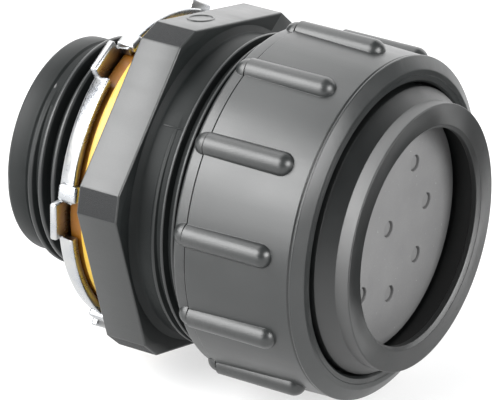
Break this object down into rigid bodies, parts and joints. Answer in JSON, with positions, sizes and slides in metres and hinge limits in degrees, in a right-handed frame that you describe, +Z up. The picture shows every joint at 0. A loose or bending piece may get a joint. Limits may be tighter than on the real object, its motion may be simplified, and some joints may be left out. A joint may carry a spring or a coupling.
{
  "type": "cord and conduit compression fitting",
  "caption": "Non-metallic liquid-tight compression fitting: threaded hub, steel locknut, sealing gasket, hex body, ribbed compression nut and a rubber grommet with plugged cord holes.",
  "frame": {"origin": "middle of the overall box, on the fitting's axis; the hex flange's rear shoulder is 10.15 mm from it towards -X", "axes": "+X along the axis from the threaded hub to the cord end, +Z up, +Y completes a right-handed frame"},
  "size_m": [0.0582, 0.0508, 0.0506],
  "materials": {
    "black_nylon": "satin moulded nylon",
    "gloss_nylon": "polished moulded nylon",
    "zinc_steel": "bright zinc plate",
    "amber_gasket": "satin translucent amber elastomer",
    "grey_rubber": "matte",
    "plug_rubber": "matte",
    "washer_plastic": "natural acetal"
  },
  "bodies": {
    "fitting_body": {"fitting_body": "black_nylon", "grommet_back_washer": "washer_plastic"},
    "gland_ring": {"gland_ring": "gloss_nylon", "slip_washer": "washer_plastic"},
    "compression_nut": {"compression_nut": "black_nylon"},
    "grommet": {"grommet": "grey_rubber"},
    "sealing_gasket": {"sealing_gasket": "amber_gasket"},
    "locknut": {"locknut": "zinc_steel"},
    "hole_plug_0": {"hole_plug_0": "plug_rubber"},
    "hole_plug_1": {"hole_plug_1": "plug_rubber"},
    "hole_plug_2": {"hole_plug_2": "plug_rubber"},
    "hole_plug_3": {"hole_plug_3": "plug_rubber"},
    "hole_plug_4": {"hole_plug_4": "plug_rubber"},
    "hole_plug_5": {"hole_plug_5": "plug_rubber"},
    "hole_plug_6": {"hole_plug_6": "plug_rubber"},
    "hole_plug_7": {"hole_plug_7": "plug_rubber"},
    "hole_plug_8": {"hole_plug_8": "plug_rubber"}
  },
  "joints": [
    {"name": "gland_ring_slide", "type": "slide", "parent": "fitting_body", "child": "gland_ring", "axis": [1, 0, 0], "range_m": [-0.00352, 0.00789]},
    {"name": "compression_nut_turn", "type": "hinge", "parent": "gland_ring", "child": "compression_nut", "pos_m": [0, 0, 0], "axis": [1, 0, 0], "range_deg": [-720, 1620]},
    {"name": "grommet_slide", "type": "slide", "parent": "gland_ring", "child": "grommet", "axis": [1, 0, 0], "range_m": [-0.001, 0]},
    {"name": "sealing_gasket_slide", "type": "slide", "parent": "fitting_body", "child": "sealing_gasket", "axis": [1, 0, 0], "range_m": [-0.01547, 0]},
    {"name": "locknut_turn", "type": "hinge", "parent": "sealing_gasket", "child": "locknut", "pos_m": [0, 0, 0], "axis": [1, 0, 0], "range_deg": [-2520, 0]},
    {"name": "hole_plug_0_pull", "type": "slide", "parent": "grommet", "child": "hole_plug_0", "axis": [1, 0, 0], "range_m": [0, 0.021]},
    {"name": "hole_plug_1_pull", "type": "slide", "parent": "grommet", "child": "hole_plug_1", "axis": [1, 0, 0], "range_m": [0, 0.021]},
    {"name": "hole_plug_2_pull", "type": "slide", "parent": "grommet", "child": "hole_plug_2", "axis": [1, 0, 0], "range_m": [0, 0.021]},
    {"name": "hole_plug_3_pull", "type": "slide", "parent": "grommet", "child": "hole_plug_3", "axis": [1, 0, 0], "range_m": [0, 0.021]},
    {"name": "hole_plug_4_pull", "type": "slide", "parent": "grommet", "child": "hole_plug_4", "axis": [1, 0, 0], "range_m": [0, 0.021]},
    {"name": "hole_plug_5_pull", "type": "slide", "parent": "grommet", "child": "hole_plug_5", "axis": [1, 0, 0], "range_m": [0, 0.021]},
    {"name": "hole_plug_6_pull", "type": "slide", "parent": "grommet", "child": "hole_plug_6", "axis": [1, 0, 0], "range_m": [0, 0.021]},
    {"name": "hole_plug_7_pull", "type": "slide", "parent": "grommet", "child": "hole_plug_7", "axis": [1, 0, 0], "range_m": [0, 0.021]},
    {"name": "hole_plug_8_pull", "type": "slide", "parent": "grommet", "child": "hole_plug_8", "axis": [1, 0, 0], "range_m": [0, 0.021]}
  ],
  "couplings": [
    {"joint": "gland_ring_slide", "follows": "compression_nut_turn", "m_per_rad": 0.00027852},
    {"joint": "sealing_gasket_slide", "follows": "locknut_turn", "m_per_rad": 0.00035157}
  ]
}
